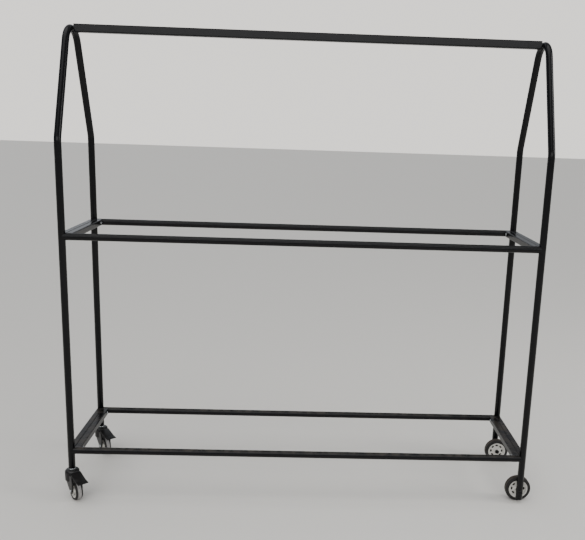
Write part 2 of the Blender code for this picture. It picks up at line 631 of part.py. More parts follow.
def housing(name, swivel):
    """Black moulded dome and fork, cut for the wheel, the stem, the axle and the pedal's pins."""
    inner = STEM_RADIUS + GAP
    crown = arc((DOME_RADIUS - DOME_SHOULDER, DOME_TOP - DOME_SHOULDER), DOME_SHOULDER, pi / 2, 0.0, CORNER_STEPS)
    outline = [(inner, DOME_TOP), *crown, (DOME_RADIUS, DOME_BOTTOM), (inner, DOME_BOTTOM)]
    body = turned(name, outline, "black_nylon", swivel, steps=DOME_STEPS)
    for sign in (-1, 1):
        cheek_name = "%s_cheek_%s" % (name, "near" if sign < 0 else "far")
        mesh = plate_mesh(cheek_name, cheek_outline(), CHEEK_THICKNESS)
        middle = sign * (CHEEK_INNER + CHEEK_THICKNESS / 2)
        boolean(body, cutter(cheek_name, mesh, swivel, (0, middle, 0)), "UNION")
    lying = (pi / 2, 0, 0)
    axle_spot = (CASTER_TRAIL, 0, CASTER_AXLE_HEIGHT)
    cavity = cylinder_mesh(name + "_cavity", CASTER_WHEEL["radius"] + TYRE_CLEARANCE, 2 * CHEEK_INNER)
    boolean(body, cutter(name + "_cavity", cavity, swivel, axle_spot, lying), "DIFFERENCE")
    pocket_top = DOME_TOP - STEM_TOP_PLATE
    pocket = cylinder_mesh(name + "_pocket", STEM_COLLAR_RADIUS + GAP, pocket_top)
    boolean(body, cutter(name + "_pocket", pocket, swivel, (0, 0, pocket_top / 2)), "DIFFERENCE")
    hole = cylinder_mesh(name + "_axle_hole", AXLE_RADIUS + HOLE_CLEARANCE, 4 * CHEEK_OUTER)
    boolean(body, cutter(name + "_axle_hole", hole, swivel, axle_spot, lying), "DIFFERENCE")
    pin = cylinder_mesh(name + "_pin_hole", PEDAL_PIN_RADIUS + HOLE_CLEARANCE, 4 * CHEEK_OUTER)
    pin_spot = (PEDAL_PIVOT[0], 0, PEDAL_PIVOT[1])
    boolean(body, cutter(name + "_pin_hole", pin, swivel, pin_spot, lying), "DIFFERENCE")
    return body


def pedal(name, swivel):
    """Sloping plate with a toe step, a shoe that meets the tyre, and pins. Its origin is on the pins."""
    pivot = empty(name + "_axis", swivel, (PEDAL_PIVOT[0], 0, PEDAL_PIVOT[1]))
    top = [PEDAL_START, PEDAL_SHOULDER, PEDAL_TIP]
    under = [(x, z - PEDAL_PLATE) for x, z in reversed(top)]
    outline = [(x - PEDAL_PIVOT[0], z - PEDAL_PIVOT[1]) for x, z in top + under]
    body = part(name, plate_mesh(name, outline, 2 * PEDAL_HALF_WIDTH), "black_nylon", pivot)
    shoe_half = CHEEK_INNER - GAP
    shoe = plate_mesh(name + "_shoe", PEDAL_SHOE, 2 * shoe_half)
    boolean(body, cutter(name + "_shoe", shoe, body), "UNION")
    pin_half = shoe_half + CHEEK_THICKNESS + GAP
    pins = cylinder_mesh(name + "_pins", PEDAL_PIN_RADIUS * cos(pi / SMALL_STEPS), 2 * pin_half, SMALL_STEPS)
    boolean(body, cutter(name + "_pins", pins, body, (0, 0, 0), (pi / 2, 0, 0)), "UNION")
    return body


def swivel_caster(side):
    name = "left_" + side
    x = -HALF_LENGTH
    y = SIDES[side] * HALF_DEPTH
    bore = STEM_RADIUS + GAP
    sleeve = [(bore, INSERT_LENGTH), (PLUG_RADIUS, INSERT_LENGTH), (PLUG_RADIUS, 0.0), (bore, 0.0)]
    turned(name + "_leg_insert", sleeve, "bright_zinc", RACK, (x, y, CASTER_HEIGHT))
    washer = [
        (bore, CASTER_HEIGHT - GAP),
        (STEM_WASHER_RADIUS - WASHER_CHAMFER, CASTER_HEIGHT - GAP),
        (STEM_WASHER_RADIUS, CASTER_HEIGHT - GAP - WASHER_CHAMFER),
        (STEM_WASHER_RADIUS, DOME_TOP + GAP),
        (bore, DOME_TOP + GAP),
    ]
    turned(name + "_stem_washer", washer, "bright_zinc", RACK, (x, y, 0), steps=WASHER_STEPS)
    collar_top = DOME_TOP - STEM_TOP_PLATE - GAP
    stem = [
        (0.0, CASTER_HEIGHT + STEM_REACH),
        (STEM_RADIUS - STEM_CHAMFER, CASTER_HEIGHT + STEM_REACH),
        (STEM_RADIUS, CASTER_HEIGHT + STEM_REACH - STEM_CHAMFER),
        (STEM_RADIUS, collar_top),
        (STEM_COLLAR_RADIUS, collar_top),
        (STEM_COLLAR_RADIUS, collar_top - STEM_COLLAR_HEIGHT),
        (0.0, collar_top - STEM_COLLAR_HEIGHT),
    ]
    turned_solid(name + "_stem", stem, "bright_zinc", RACK, (x, y, 0))

    swivel = empty(name + "_swivel_axis", RACK, (x, y, 0), (0, 0, CASTER_TURN))
    housing(name + "_housing", swivel)
    pedal(name + "_brake_pedal", swivel)
    lying = (-pi / 2, 0, 0)
    spin = empty(name + "_wheel_axis", swivel, (CASTER_TRAIL, 0, CASTER_AXLE_HEIGHT), lying)
    tyre(name + "_tyre", CASTER_WHEEL, spin)
    hub(name + "_hub", CASTER_WHEEL, spin)
    plain_bush(name + "_bush", CHEEK_INNER - GAP, spin)
    near = (CASTER_TRAIL, -CHEEK_OUTER - GAP, CASTER_AXLE_HEIGHT)
    far = (CASTER_TRAIL, CHEEK_OUTER + GAP, CASTER_AXLE_HEIGHT)
    shank = far[1] - near[1] + CASTER_NUT["height"] + AXLE_END
    head = domed_head(AXLE_HEAD_RADIUS, AXLE_HEAD_HEIGHT, AXLE_RADIUS, shank)
    turned_solid(name + "_axle", head, "bright_zinc", swivel, near, (pi / 2, 0, 0))
    hex_nut(name + "_axle_nut", CASTER_NUT, swivel, far, lying, "bright_zinc")


# ---- the whole rack -------------------------------------------------------------------------------------
def centre_on_origin(rack):
    """Puts the middle of the rack's box, seen from above, on the origin."""
    bpy.context.view_layer.update()
    graph = bpy.context.evaluated_depsgraph_get()
    spots = []
    for obj in PARTS.objects:
        if obj.type == "MESH":
            evaluated = obj.evaluated_get(graph)
            spots += [evaluated.matrix_world @ vertex.co for vertex in evaluated.data.vertices]
    for axis in (0, 1):
        values = [spot[axis] for spot in spots]
        rack.location[axis] -= (min(values) + max(values)) / 2


RACK = empty("rack_origin")

end_hoop("left", CASTER_HEIGHT)
fixed_leg_details(end_hoop("right", FIXED_LEG_END))
top_rail()
for end_name in ENDS:
    top_rail_plug(end_name)
    top_rail_bolt(end_name)
for level_name, shelf_height in SHELF_HEIGHTS.items():
    for end_name in ENDS:
        cross_tube(end_name, level_name, shelf_height)
        shelf_bar(end_name, level_name, shelf_height)
        for side_name in SIDES:
            shelf_screw(end_name, side_name, level_name, shelf_height)
    for side_name in SIDES:
        long_rail(side_name, level_name, shelf_height)
for side_name in SIDES:
    swivel_caster(side_name)
    fixed_wheel(side_name)

centre_on_origin(RACK)
lean = degrees(lean_angle(HALF_DEPTH, APEX_HEIGHT - SHOULDER_HEIGHT))
print("rack origin at %.6f %.6f, hoop lean %.1f degrees" % (RACK.location.x, RACK.location.y, lean))
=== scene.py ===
import json
from math import acos, atan2, cos, hypot, pi, radians, sin, sqrt

import bmesh
import bpy
from mathutils import Matrix, Vector, noise


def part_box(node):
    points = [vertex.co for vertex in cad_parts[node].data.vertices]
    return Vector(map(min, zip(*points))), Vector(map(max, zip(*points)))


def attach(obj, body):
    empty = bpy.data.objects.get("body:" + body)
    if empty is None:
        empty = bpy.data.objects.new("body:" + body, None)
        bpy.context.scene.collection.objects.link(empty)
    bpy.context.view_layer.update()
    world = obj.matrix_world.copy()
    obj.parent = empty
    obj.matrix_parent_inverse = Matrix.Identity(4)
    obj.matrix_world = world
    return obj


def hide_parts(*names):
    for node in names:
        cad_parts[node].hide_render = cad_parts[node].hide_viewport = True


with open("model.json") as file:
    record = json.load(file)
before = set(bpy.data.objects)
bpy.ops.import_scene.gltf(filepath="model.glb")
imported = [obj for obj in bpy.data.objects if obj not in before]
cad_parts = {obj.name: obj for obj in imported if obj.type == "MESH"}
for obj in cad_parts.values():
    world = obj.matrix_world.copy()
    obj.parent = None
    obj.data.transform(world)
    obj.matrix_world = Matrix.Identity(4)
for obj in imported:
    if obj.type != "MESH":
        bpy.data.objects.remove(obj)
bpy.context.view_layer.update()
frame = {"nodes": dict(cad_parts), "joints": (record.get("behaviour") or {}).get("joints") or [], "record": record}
for leftover in ("Cube", "Light", "Camera"):
    if leftover in bpy.data.objects:
        bpy.data.objects.remove(bpy.data.objects[leftover], do_unlink=True)

record = frame["record"]
bodyOf = {node: body for body, nodes in record["behaviour"]["bodies"].items() for node in nodes}
slotOf = {row["node"]: row["material_slot"] for row in record["subparts"]}
joints = {joint["name"]: joint for joint in frame["joints"]}
ends = {"left": -1, "right": 1}
sides = {"front": -1, "rear": 1}

# where the tubes run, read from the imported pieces
hoopLow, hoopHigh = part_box("left_end_hoop")
farLow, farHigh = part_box("right_end_hoop")
legRadius = (hoopHigh.x - hoopLow.x) / 2
hoopX = {"left": (hoopLow.x + hoopHigh.x) / 2, "right": (farLow.x + farHigh.x) / 2}
legY = {"front": hoopLow.y + legRadius, "rear": hoopHigh.y - legRadius}
middle = Vector(((hoopX["left"] + hoopX["right"]) / 2, (legY["front"] + legY["rear"]) / 2, 0.0))
gap = 0.0003         # the clearance between pieces that touch
onePoint = 0.000001  # points nearer than this are merged
print("frame loaded:", len(frame["nodes"]), "CAD pieces")


def toLinear(hexColour):
    channels = [int(hexColour[place:place + 2], 16) / 255 for place in (1, 3, 5)]
    return tuple(c / 12.92 if c <= 0.04045 else ((c + 0.055) / 1.055) ** 2.4 for c in channels) + (1.0,)


def addNode(tree, kind, settings=None, links=None):
    node = tree.nodes.new(kind)
    for name, value in (settings or {}).items():
        if isinstance(name, str) and hasattr(node, name):
            setattr(node, name, value)
        else:
            node.inputs[name].default_value = value
    for name, source in (links or {}).items():
        tree.links.new(source, node.inputs[name])
    return node


def startMaterial(name):
    material = bpy.data.materials.new(name)
    material.use_nodes = True
    tree = material.node_tree
    shader = tree.nodes["Principled BSDF"]
    spot = addNode(tree, "ShaderNodeTexCoord")
    return material, tree, shader, spot


def addNoise(tree, vector, sizeMm, detail, roughness=0.5):
    settings = {"Scale": 1000 / sizeMm, "Detail": detail, "Roughness": roughness}
    return addNode(tree, "ShaderNodeTexNoise", settings, {"Vector": vector}).outputs["Fac"]


def remap(tree, value, start, end, least=0.0, most=1.0, blend="LINEAR"):
    # start to end becomes least to most, and is held beyond both
    settings = {"From Min": start, "From Max": end, "To Min": least, "To Max": most}
    settings["interpolation_type"] = blend
    return addNode(tree, "ShaderNodeMapRange", settings, {"Value": value}).outputs["Result"]


def calculate(tree, operation, first, second):
    # second is a plain number or another node's output
    settings, links = {"operation": operation}, {0: first}
    (settings if isinstance(second, float) else links)[1] = second
    return addNode(tree, "ShaderNodeMath", settings, links).outputs["Value"]


def mixColours(tree, share, first, second):
    # second is a hex colour; first is one too, or another node's output
    settings, links = {"data_type": "RGBA", 7: toLinear(second)}, {0: share}
    if isinstance(first, str):
        settings[6] = toLinear(first)
    else:
        links[6] = first
    return addNode(tree, "ShaderNodeMix", settings, links).outputs[2]


def joinUp(tree, shader, look, colour, gloss, relief):
    # look["bump"] is the strength and the depth in metres of what relief draws
    strength, depth = look["bump"]
    bump = addNode(tree, "ShaderNodeBump", {"Strength": strength, "Distance": depth}, {"Height": relief})
    tree.links.new(colour, shader.inputs["Base Color"])
    tree.links.new(bump.outputs["Normal"], shader.inputs["Normal"])
    if gloss is not None:
        tree.links.new(gloss, shader.inputs["Roughness"])
    for name, value in look["shader"].items():
        shader.inputs[name].default_value = value


# satin powder coat on steel: baked plastic film, so a fine orange peel breaks up its highlights,
# and dust lies on what faces up, more of it near the floor
powderCoat = {
    "base": "#08080a", "faded": "#0f0f11", "dust": "#8b7f70", "waveMm": 35.0, "roughness": (0.19, 0.27),
    "peelMm": 2.6,                # real peel is 1 to 2 mm across, drawn a little coarser so that it shows
    "bump": (0.10, 0.0004),
    "dustMost": 0.15,
    "dustSlope": (0.35, 0.95),    # how far up a face looks where dust starts to lie, and where it all stays
    "dustHeight": (0.10, 0.45),
    "dustAloft": 0.12,            # what is left of it from the upper height on
    "dustPatches": (0.35, 0.70),
    "shader": {"IOR": 1.45, "Specular IOR Level": 0.23},  # the film throws back less than clear gloss does
}


def powderCoatedSteel():
    material, tree, shader, spot = startMaterial("powderCoatedSteel_satinBlack")
    wave = addNoise(tree, spot.outputs["Object"], powderCoat["waveMm"], detail=3.0)
    peel = addNoise(tree, spot.outputs["Object"], powderCoat["peelMm"], detail=2.0)
    normal = addNode(tree, "ShaderNodeSeparateXYZ", None, {"Vector": spot.outputs["Normal"]})
    place = addNode(tree, "ShaderNodeSeparateXYZ", None, {"Vector": spot.outputs["Object"]})
    facing = remap(tree, normal.outputs["Z"], *powderCoat["dustSlope"], blend="SMOOTHSTEP")
    height = remap(tree, place.outputs["Z"], *powderCoat["dustHeight"], 1.0, powderCoat["dustAloft"])
    patchy = remap(tree, wave, *powderCoat["dustPatches"])
    lying = calculate(tree, "MULTIPLY", facing, height)
    uneven = calculate(tree, "MULTIPLY", lying, patchy)
    dust = calculate(tree, "MULTIPLY", uneven, powderCoat["dustMost"])
    film = mixColours(tree, wave, powderCoat["base"], powderCoat["faded"])
    dusty = mixColours(tree, dust, film, powderCoat["dust"])
    gloss = remap(tree, wave, 0.0, 1.0, *powderCoat["roughness"])
    dulled = calculate(tree, "ADD", gloss, dust)
    joinUp(tree, shader, powderCoat, dusty, dulled, peel)
    return material


# glass-filled nylon, moulded in a spark-eroded tool: a soft grain and a dull sheen
nylon = {
    "base": "#0a0a0b", "worn": "#131315", "dust": "#6f675d", "grainMm": 1.1, "blotchMm": 14.0,
    "roughness": (0.28, 0.42), "bump": (0.22, 0.0004), "dustMost": 0.05, "dustSlope": (0.2, 1.0),
    "scuffs": (0.52, 0.75), "shader": {"IOR": 1.50, "Specular IOR Level": 0.36},
}


def mouldedNylon():
    material, tree, shader, spot = startMaterial("nylon_mouldedBlack")
    grain = addNoise(tree, spot.outputs["Object"], nylon["grainMm"], detail=3.0, roughness=0.6)
    blotch = addNoise(tree, spot.outputs["Object"], nylon["blotchMm"], detail=4.0)
    normal = addNode(tree, "ShaderNodeSeparateXYZ", None, {"Vector": spot.outputs["Normal"]})
    facing = remap(tree, normal.outputs["Z"], *nylon["dustSlope"], 0.0, nylon["dustMost"])
    dust = calculate(tree, "MULTIPLY", facing, blotch)
    scuff = remap(tree, blotch, *nylon["scuffs"])
    body = mixColours(tree, scuff, nylon["base"], nylon["worn"])
    dusty = mixColours(tree, dust, body, nylon["dust"])
    gloss = remap(tree, blotch, 0.0, 1.0, *nylon["roughness"])
    joinUp(tree, shader, nylon, dusty, gloss, grain)
    return material


# vulcanised rubber: matt black walls, brown floor dust on the fixed tyres, and a band round the casters'
# treads that grit has scoured to a pale grey; each has its colour, its marks' colour and how strong they get
rubber = {
    "wall": ("#0f0e0e", "#2c2622", 0.45), "dusty": ("#1d1916", "#54483c", 0.75),
    "scoured": ("#a19f9d", "#6d6b6a", 0.60), "marks": (0.40, 0.66), "gritMm": 1.6, "scuffMm": 7.0,
    "roughness": (0.62, 0.88), "bump": (0.25, 0.0005), "shader": {"IOR": 1.52},
}


def vulcanisedRubber(name, base, marked, most):
    material, tree, shader, spot = startMaterial(name)
    grit = addNoise(tree, spot.outputs["Object"], rubber["gritMm"], detail=3.0)
    scuff = addNoise(tree, spot.outputs["Object"], rubber["scuffMm"], detail=5.0, roughness=0.65)
    patch = remap(tree, scuff, *rubber["marks"], 0.0, most)
    colour = mixColours(tree, patch, base, marked)
    gloss = remap(tree, scuff, 0.0, 1.0, *rubber["roughness"])
    joinUp(tree, shader, rubber, colour, gloss, grit)
    return material


# polypropylene, moulded light grey: a faint milky depth, flow marks and a little grime
hubPlastic = {
    "base": "#e2e0da", "shade": "#c9c7c0", "grime": "#8d867b", "flowMm": 12.0, "speckMm": 2.0,
    "grimePatches": (0.56, 0.80), "grimeMost": 0.35, "roughness": (0.34, 0.52), "bump": (0.08, 0.0003),
    "shader": {"IOR": 1.49},
}


def mouldedPolypropylene():
    material, tree, shader, spot = startMaterial("polypropylene_mouldedLightGrey")
    flow = addNoise(tree, spot.outputs["Object"], hubPlastic["flowMm"], detail=4.0)
    speck = addNoise(tree, spot.outputs["Object"], hubPlastic["speckMm"], detail=2.0)
    tint = mixColours(tree, flow, hubPlastic["base"], hubPlastic["shade"])
    grime = remap(tree, flow, *hubPlastic["grimePatches"], 0.0, hubPlastic["grimeMost"])
    colour = mixColours(tree, grime, tint, hubPlastic["grime"])
    gloss = remap(tree, flow, 0.0, 1.0, *hubPlastic["roughness"])
    joinUp(tree, shader, hubPlastic, colour, gloss, speck)
    return material


# painted shade inside the holes of the hubs: a nearly black, crumbly and quite matt colour that stands in for the
# shade in the holes
holeShade = {"base": "#191613", "paler": "#3a332b", "crumbMm": 1.5, "bump": (0.4, 0.0005),
        "shader": {"Roughness": 0.95}}


# paints the shade in the hub holes as a dark colour
def paintedHoleShade():
    material, tree, shader, spot = startMaterial("dirt_cakedInHoles")
    crumb = addNoise(tree, spot.outputs["Object"], holeShade["crumbMm"], detail=4.0)
    colour = mixColours(tree, crumb, holeShade["base"], holeShade["paler"])
    joinUp(tree, shader, holeShade, colour, None, crumb)
    return material


# zinc plated steel, barrel plated and bright: cool, softly mottled, with fine handling scratches
zinc = {
    "base": "#d3d6d8", "cloud": "#a9adb0", "cloudMm": 5.0, "scratchMm": 0.6, "scratchSquash": (1.0, 1.0, 9.0),
    "roughness": (0.16, 0.36), "bump": (0.06, 0.0002), "shader": {"Metallic": 1.0},
}


def zincPlatedSteel():
    material, tree, shader, spot = startMaterial("zincPlatedSteel_bright")
    cloud = addNoise(tree, spot.outputs["Object"], zinc["cloudMm"], detail=4.0)
    squashed = addNode(tree, "ShaderNodeMapping", {"Scale": zinc["scratchSquash"]},
                       {"Vector": spot.outputs["Object"]})
    scratch = addNoise(tree, squashed.outputs["Vector"], zinc["scratchMm"], detail=1.0)
    colour = mixColours(tree, cloud, zinc["base"], zinc["cloud"])
    gloss = remap(tree, cloud, 0.0, 1.0, *zinc["roughness"])
    joinUp(tree, shader, zinc, colour, gloss, scratch)
    return material


# acetal, machined: a smooth milky white with faint turning lines
acetal = {"base": "#dedcd5", "shade": "#c6c3ba", "lineMm": 0.8, "bump": (0.05, 0.0002),
          "shader": {"Roughness": 0.35, "IOR": 1.48}}


def machinedAcetal():
    material, tree, shader, spot = startMaterial("acetal_machinedWhite")
    line = addNoise(tree, spot.outputs["Object"], acetal["lineMm"], detail=1.0)
    colour = mixColours(tree, line, acetal["base"], acetal["shade"])
    joinUp(tree, shader, acetal, colour, None, line)
    return material


finishes = {
    "black_powder_coat": powderCoatedSteel(),
    "black_nylon": mouldedNylon(),
    "black_rubber": vulcanisedRubber("rubber_vulcanisedWall", *rubber["wall"]),
    "dusty_tread": vulcanisedRubber("rubber_dustyTread", *rubber["dusty"]),
    "scoured_tread": vulcanisedRubber("rubber_scouredTread", *rubber["scoured"]),
    "grey_hub_plastic": mouldedPolypropylene(),
    # painted shade for the walls of the hub holes
    "painted_hole_shade": paintedHoleShade(),
    "bright_zinc": zincPlatedSteel(),
    "white_acetal": machinedAcetal(),
}
for nodeName, cadObject in frame["nodes"].items():
    cadObject.data.materials.clear()
    cadObject.data.materials.append(finishes[slotOf[nodeName]])
print("materials made:", len(finishes))


def toPiece(node, bm, extra=None, sharp=34):
    # bm becomes the visible form of this CAD node, on the same body and with the node's finish
    bmesh.ops.recalc_face_normals(bm, faces=bm.faces)
    mesh = bpy.data.meshes.new(node + "_form")
    bm.to_mesh(mesh)
    bm.free()
    mesh.materials.append(finishes[slotOf[node]])
    if extra:
        mesh.materials.append(finishes[extra])
    mesh.shade_smooth()
    mesh.set_sharp_from_angle(angle=radians(sharp))
    piece = bpy.data.objects.new(node + "_form", mesh)
    bpy.context.scene.collection.objects.link(piece)
    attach(piece, bodyOf[node])
    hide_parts(node)
    return piece


def combine(first, second, operation):
    # Boolean of two closed bmeshes, which are used up
    pair = []
    for bm in (first, second):
        bmesh.ops.recalc_face_normals(bm, faces=bm.faces)
        mesh = bpy.data.meshes.new("temporary")
        bm.to_mesh(mesh)
        bm.free()
        pair.append(bpy.data.objects.new("temporary", mesh))
        bpy.context.scene.collection.objects.link(pair[-1])
    modifier = pair[0].modifiers.new("combine", "BOOLEAN")
    modifier.operation = operation
    modifier.object = pair[1]
    modifier.solver = "EXACT"
    made = bmesh.new()
    made.from_object(pair[0], bpy.context.evaluated_depsgraph_get())
    for thing in pair:
        mesh = thing.data
        bpy.data.objects.remove(thing, do_unlink=True)
        bpy.data.meshes.remove(mesh)
    return made


def turnProfile(profile, steps=64, closed=False):
    # (radius, height) points spun about Z
    bm = bmesh.new()
    verts = [bm.verts.new((radius, 0.0, height)) for radius, height in profile]
    edges = [bm.edges.new(pair) for pair in zip(verts, verts[1:])]
    if closed:
        edges.append(bm.edges.new((verts[-1], verts[0])))
    bmesh.ops.spin(bm, geom=verts + edges, cent=(0, 0, 0), axis=(0, 0, 1), dvec=(0, 0, 0), angle=2 * pi,
                   steps=steps, use_merge=True, use_duplicate=False)
    bmesh.ops.remove_doubles(bm, verts=bm.verts, dist=onePoint)
    return bm


def arcPoints(centre, radius, start, end, count):
    turn = (end - start) / count
    return [(centre[0] + radius * cos(start + turn * step), centre[1] + radius * sin(start + turn * step))
            for step in range(count + 1)]


def along(axis, spot):
    # the transform that lays a piece turned about Z on this axis, at this spot
    return Matrix.Translation(spot) @ Vector(axis).to_track_quat("Z", "Y").to_matrix().to_4x4()


def roundOff(bm, edges, radius, segments):
    bmesh.ops.bevel(bm, geom=edges, offset=radius, segments=segments, profile=0.5, affect="EDGES",
                    material=-1)


def loftedPlate(outline, halfWidth, rounding, segments=3):
    # a closed (x, z) outline made a plate from -halfWidth to +halfWidth in y, with its rim edges rounded
    bm = bmesh.new()
    face = bm.faces.new([bm.verts.new((x, -halfWidth, z)) for x, z in outline])
    made = bmesh.ops.extrude_face_region(bm, geom=[face])
    moved = [item for item in made["geom"] if isinstance(item, bmesh.types.BMVert)]
    bmesh.ops.translate(bm, verts=moved, vec=(0, 2 * halfWidth, 0))
    bmesh.ops.recalc_face_normals(bm, faces=bm.faces)
    if rounding:
        rim = [edge for edge in bm.edges if abs(edge.verts[0].co.y - edge.verts[1].co.y) < halfWidth]
        roundOff(bm, rim, rounding, segments)
    return bm


# end hoops: one bent round tube each
endHoop = {"shoulderHeight": 1.155, "shoulderRadius": 0.060, "apexRadius": 0.060, "sides": 48,
           "shoulderSteps": 10, "apexSteps": 36, "footRounding": 0.0004, "footBand": 0.00001}


def bendTube(bm, edges, moves):
    # carries an open ring of edges along straight runs and round bends, as a tube bender does
    for move in moves:
        if move[0] == "run":
            made = bmesh.ops.extrude_edge_only(bm, edges=edges)["geom"]
            verts = [item for item in made if isinstance(item, bmesh.types.BMVert)]
            edges = [item for item in made if isinstance(item, bmesh.types.BMEdge)]
            bmesh.ops.translate(bm, verts=verts, vec=move[1])
            ring = set(verts)
            edges = [edge for edge in edges if edge.verts[0] in ring and edge.verts[1] in ring]
        else:
            centre, angle, steps = move[1:]
            made = bmesh.ops.spin(bm, geom=edges, cent=centre, axis=(1, 0, 0), dvec=(0, 0, 0), angle=angle,
                                  steps=steps, use_merge=False, use_duplicate=False)["geom_last"]
            edges = [item for item in made if isinstance(item, bmesh.types.BMEdge)]
    return edges


def makeHoop(end):
    low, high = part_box(end + "_end_hoop")
    x = hoopX[end]
    front, rear = legY["front"], legY["rear"]
    halfDepth = (rear - front) / 2
    apex = high.z - legRadius
    rise = apex - endHoop["shoulderHeight"]
    bigBend = endHoop["apexRadius"]
    spare = rise - bigBend
    lean = acos(bigBend / hypot(halfDepth, spare)) - atan2(spare, halfDepth)
    shoulder = endHoop["shoulderRadius"]
    tangent = shoulder * (1 - cos(lean)) / sin(lean)
    bendStart = endHoop["shoulderHeight"] - tangent
    frontCentre = Vector((x, front + shoulder, bendStart))
    rearCentre = Vector((x, rear - shoulder, bendStart))
    apexCentre = Vector((x, middle.y, apex - bigBend))
    outward = Vector((0, -cos(lean), sin(lean)))
    slope = (apexCentre + bigBend * outward) - (frontCentre + shoulder * outward)
    down = Vector((0, slope.y, -slope.z))
    bm = bmesh.new()
    ring = bmesh.ops.create_circle(bm, cap_ends=False, segments=endHoop["sides"], radius=legRadius,
                                   matrix=Matrix.Translation((x, front, low.z)))["verts"]
    edges = list({edge for vert in ring for edge in vert.link_edges})
    edges = bendTube(bm, edges, [
        ("run", (0, 0, bendStart - low.z)),
        ("bend", frontCentre, -lean, endHoop["shoulderSteps"]),
        ("run", slope),
        ("bend", apexCentre, -(pi - 2 * lean), endHoop["apexSteps"]),
        ("run", down),
        ("bend", rearCentre, -lean, endHoop["shoulderSteps"]),
        ("run", (0, 0, low.z - bendStart)),
    ])
    bmesh.ops.holes_fill(bm, edges=[edge for edge in bm.edges if edge.is_boundary], sides=0)
    feet = [edge for edge in bm.edges
            if all(abs(vert.co.z - low.z) < endHoop["footBand"] for vert in edge.verts)]
    roundOff(bm, feet, endHoop["footRounding"], 2)
    return toPiece(end + "_end_hoop", bm)


for endName in ends:
    makeHoop(endName)
print("end hoops bent")


# weld beads, drawn as a rippled ring laid round each joint
weld = {"radius": 0.0011, "sides": 8, "steps": 72, "rippleMm": 2.2, "ripple": 0.18, "uneven": 0.3,
        "unevenScale": 400, "cornerReach": 1.27}


def addBead(bm, ringRadius, saddle, place):
    # a ring about Z, pulled out to a square tube's outline; saddle(x, y) is the shift along Z
    bead = bmesh.new()
    upright = Matrix.Translation((ringRadius, 0, 0)) @ Matrix.Rotation(pi / 2, 4, "X")
    made = bmesh.ops.create_circle(bead, cap_ends=False, segments=weld["sides"], radius=weld["radius"],
                                   matrix=upright)
    edges = list({edge for vert in made["verts"] for edge in vert.link_edges})
    bmesh.ops.spin(bead, geom=edges, cent=(0, 0, 0), axis=(0, 0, 1), dvec=(0, 0, 0), angle=2 * pi,
                   steps=weld["steps"], use_merge=True, use_duplicate=False)
    bmesh.ops.remove_doubles(bead, verts=bead.verts, dist=onePoint)
    for vert in bead.verts:
        turn = atan2(vert.co.y, vert.co.x)
        centre = Vector((cos(turn), sin(turn), 0)) * ringRadius
        count = round(2 * pi * ringRadius * 1000 / weld["rippleMm"])
        uneven = weld["uneven"] * noise.noise(centre * weld["unevenScale"])
        swell = 1 + weld["ripple"] * cos(count * turn) + uneven
        vert.co = centre + (vert.co - centre) * swell
        stretch = min(1 / max(abs(cos(turn)), abs(sin(turn))), weld["cornerReach"])
        vert.co.x *= stretch
        vert.co.y *= stretch
        vert.co.z += saddle(vert.co.x, vert.co.y)
    bmesh.ops.transform(bead, matrix=place, verts=bead.verts)
    mesh = bpy.data.meshes.new("temporary")
    bead.to_mesh(mesh)
    bead.free()
    bm.from_mesh(mesh)
    bpy.data.meshes.remove(mesh)


# square tubes: cross tubes in the hoops, shelf bars and the hanging rail
squareTube = {"corner": 0.0020, "cornerSteps": 4, "flatCuts": 9}


def squareTubeMesh(width, length):
    # a solid bar along Z, its middle at the origin
    bm = bmesh.new()
    bmesh.ops.create_grid(bm, x_segments=1, y_segments=1, size=width / 2)
    bmesh.ops.bevel(bm, geom=bm.verts[:], offset=squareTube["corner"], segments=squareTube["cornerSteps"],
                    profile=0.5, affect="VERTICES", material=-1)
    flats = [edge for edge in bm.edges if edge.calc_length() > width / 2]
    bmesh.ops.subdivide_edges(bm, edges=flats, cuts=squareTube["flatCuts"])
    bmesh.ops.translate(bm, verts=bm.verts, vec=(0, 0, -length / 2))
    made = bmesh.ops.extrude_face_region(bm, geom=bm.faces[:])
    moved = [item for item in made["geom"] if isinstance(item, bmesh.types.BMVert)]
    bmesh.ops.translate(bm, verts=moved, vec=(0, 0, length))
    return bm


def makeDepthTube(node, metRadius, across):
    # from front to rear, its ends cut to the round tubes it meets: across is 0, the profile's level axis,
    # where those stand up, and 1, its upright axis, where they lie
    low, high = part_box(node)
    width = high.x - low.x
    span = legY["rear"] - legY["front"]
    bm = squareTubeMesh(width, span)
    reach = metRadius + gap
    for vert in bm.verts:
        inset = sqrt(max(reach * reach - vert.co[across] * vert.co[across], 0.0))
        vert.co.z += -inset if vert.co.z > 0 else inset
    place = along((0, 1, 0), ((low.x + high.x) / 2, middle.y, (low.z + high.z) / 2))
    bmesh.ops.transform(bm, matrix=place, verts=bm.verts)
    for sign in sides.values():
        shift = Matrix.Translation((0, 0, sign * span / 2))
        addBead(bm, width / 2, lambda *spot: -sign * sqrt(max(metRadius**2 - spot[across]**2, 0.0)),
                place @ shift)
    return toPiece(node, bm)


for levelName in ("lower", "middle"):
    railLow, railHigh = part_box(levelName + "_front_rail")
    for endName in ends:
        makeDepthTube("%s_%s_cross_tube" % (endName, levelName), legRadius, 0)
        makeDepthTube("%s_%s_shelf_bar" % (levelName, endName), (railHigh.z - railLow.z) / 2, 1)
print("cross tubes and shelf bars made")


# long rails: round tubes whose ends are cut to sit on the legs
longRail = {"sides": 48}


